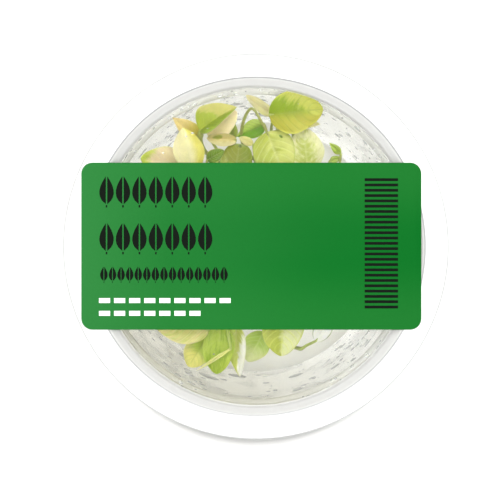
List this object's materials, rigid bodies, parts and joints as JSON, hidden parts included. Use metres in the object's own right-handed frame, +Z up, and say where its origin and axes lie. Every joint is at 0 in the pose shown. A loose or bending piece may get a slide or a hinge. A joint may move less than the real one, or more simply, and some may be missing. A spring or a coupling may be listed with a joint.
{
  "type": "tissue culture marbled anubias in a lidded cup",
  "caption": "Small marbled aquarium plants growing in clear gel inside a round clear cup with a snap lid and a green label.",
  "frame": {"origin": "middle of the cup's foot, on the surface that it stands on", "axes": "+Z up along the cup's axis, +X along the label's long side, +Y across it"},
  "size_m": [0.118, 0.118, 0.0523],
  "materials": {
    "clear_plastic": "clear moulded polypropylene, glossy, faintly milky",
    "lid_plastic": "moulded polypropylene, milky white at the rim and clear over the window",
    "label": "green printed label film, satin",
    "gel": "clear to cloudy nutrient gel, wet",
    "rhizome": "green living stem with pale roots",
    "leaf_lime": "lime green leaf, satin",
    "leaf_green": "mid green leaf, satin",
    "leaf_marbled": "leaf marbled pale yellow and green, satin",
    "leaf_cream": "cream and yellow variegated leaf, satin",
    "leaf_blush": "pinkish beige variegated leaf, satin"
  },
  "bodies": {
    "root": {"cup": "clear_plastic", "lid": "lid_plastic", "label": "label", "gel": "gel", "rhizome_back_left": "rhizome", "rhizome_back": "rhizome", "rhizome_left": "rhizome", "rhizome_front_left": "rhizome", "rhizome_front": "rhizome", "rhizome_right": "rhizome", "rhizome_middle": "rhizome", "leaf_curled": "leaf_blush", "leaf_wedge": "leaf_green", "leaf_orange_tip": "leaf_blush", "leaf_fan": "leaf_marbled", "leaf_fan_lower": "leaf_blush", "leaf_tan_tip": "leaf_cream", "leaf_pale_tip": "leaf_cream", "leaf_pale_heart": "leaf_marbled", "leaf_sprig": "leaf_green", "leaf_shield": "leaf_lime", "leaf_dark_scrap": "leaf_green", "leaf_far_left": "leaf_blush", "leaf_left_low": "leaf_green", "leaf_left_flat": "leaf_marbled", "leaf_cream": "leaf_cream", "leaf_left_mid": "leaf_cream", "leaf_lime_left": "leaf_lime", "leaf_lime_front": "leaf_lime", "leaf_pale_edge": "leaf_cream", "leaf_white_blade": "leaf_marbled", "leaf_streaked": "leaf_marbled", "leaf_white_side": "leaf_cream", "leaf_front_low": "leaf_green", "leaf_front_right": "leaf_lime", "leaf_folded": "leaf_marbled", "leaf_soft_green": "leaf_green", "leaf_right_low": "leaf_green", "leaf_sprout": "leaf_lime", "leaf_bud": "leaf_green", "leaf_white_marbled": "leaf_marbled", "leaf_right_flat": "leaf_marbled", "leaf_olive": "leaf_green", "leaf_centre_low": "leaf_lime", "leaf_centre": "leaf_lime", "leaf_centre_left": "leaf_cream", "leaf_cream_flap": "leaf_cream"}
  },
  "joints": []
}
